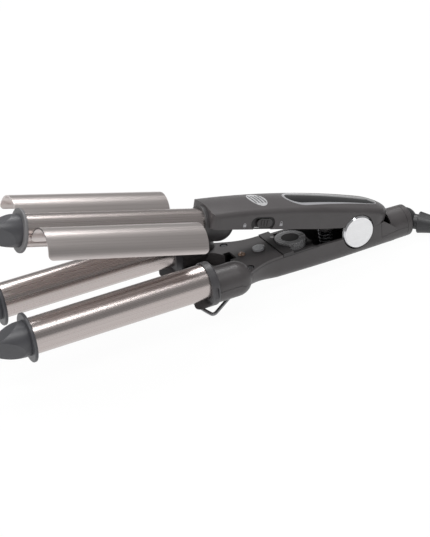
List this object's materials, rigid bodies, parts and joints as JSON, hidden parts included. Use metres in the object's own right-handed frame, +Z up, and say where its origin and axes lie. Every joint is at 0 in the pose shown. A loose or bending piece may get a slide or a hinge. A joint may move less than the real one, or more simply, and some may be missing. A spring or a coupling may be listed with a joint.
{
  "type": "hair waver",
  "caption": "Deep hair waver with round metal barrels on two hinged jaws, a dial and a lock on the handle, a folding wire stand and a mains cord.",
  "frame": {"origin": "on the table, under the middle of the waver without its cord", "axes": "+X towards the tail, where the cord leaves; +Y to the side away from the lock slider; +Z up from the table"},
  "size_m": [0.452, 0.1278, 0.098],
  "materials": {
    "charcoal": "satin",
    "black": "gloss",
    "dark": "matte",
    "grey": "matte",
    "silver": "satin",
    "chrome": "polished",
    "titanium": "brushed",
    "steel": "brushed",
    "lens": "gloss",
    "board": "gloss",
    "ceramic": "matte",
    "cable": "matte"
  },
  "bodies": {
    "lower_jaw": {"front_cover": "charcoal", "lower_shell": "charcoal", "dial_platform": "charcoal", "tail_cover": "charcoal", "tail_ring": "charcoal", "left_barrel": "titanium", "right_barrel": "titanium", "left_heater": "ceramic", "right_heater": "ceramic", "left_flange": "charcoal", "right_flange": "charcoal", "left_tip": "dark", "right_tip": "dark", "left_collar": "dark", "right_collar": "dark", "hinge_pin": "steel", "right_hinge_cap": "silver", "left_hinge_cap": "silver", "jaw_spring": "steel", "dial_control": "dark", "lamp_lens": "lens", "circuit_board": "board", "ion_generator": "dark", "cover_screws": "steel", "cord": "cable", "cord_coil": "cable", "plug_cord": "cable", "plug_body": "cable", "plug_pins": "chrome"},
    "upper_jaw": {"upper_housing": "charcoal", "upper_cover": "charcoal", "inlay": "black", "inlay_trim": "silver", "vent_grille": "silver", "upper_collar": "dark", "centre_barrel": "titanium", "centre_heater": "ceramic", "centre_flange": "grey", "centre_tip": "dark", "left_wing": "titanium", "right_wing": "titanium"},
    "dial": {"temperature_dial": "silver", "dial_face": "dark"},
    "button": {"ion_button": "silver"},
    "lock": {"lock_slider": "silver"},
    "stand": {"stand_bail": "chrome"},
    "swivel": {"swivel_ball": "cable", "strain_relief": "cable"}
  },
  "joints": [
    {"name": "jaw_hinge", "type": "hinge", "parent": "lower_jaw", "child": "upper_jaw", "pos_m": [0.10539, 0, 0.02141], "axis": [0, 1, 0], "range_deg": [-12.86, 0], "stiffness_Nm_per_rad": 1, "springref_deg": 20.05, "deforming": ["jaw_spring"]},
    {"name": "dial_turn", "type": "hinge", "parent": "lower_jaw", "child": "dial", "pos_m": [0.06349, 0, 0.022], "axis": [0.014, 0, 0.9999], "range_deg": [-135, 135]},
    {"name": "button_press", "type": "slide", "parent": "lower_jaw", "child": "button", "axis": [0.014, 0, 0.9999], "range_m": [-0.0008, 0], "stiffness_N_per_m": 1000, "springref_m": 0.0008},
    {"name": "lock_slide", "type": "slide", "parent": "upper_jaw", "child": "lock", "axis": [0.9629, 0, -0.27], "range_m": [-0.003, 0]},
    {"name": "stand_fold", "type": "hinge", "parent": "lower_jaw", "child": "stand", "pos_m": [0.00884, 0, 0.01116], "axis": [0, 1, 0], "range_deg": [-130, 0]},
    {"name": "cord_swivel", "type": "hinge", "parent": "lower_jaw", "child": "swivel", "pos_m": [0.14924, 0, 0.01049], "axis": [0.6889, -0.7134, -0.1281], "continuous": true}
  ]
}
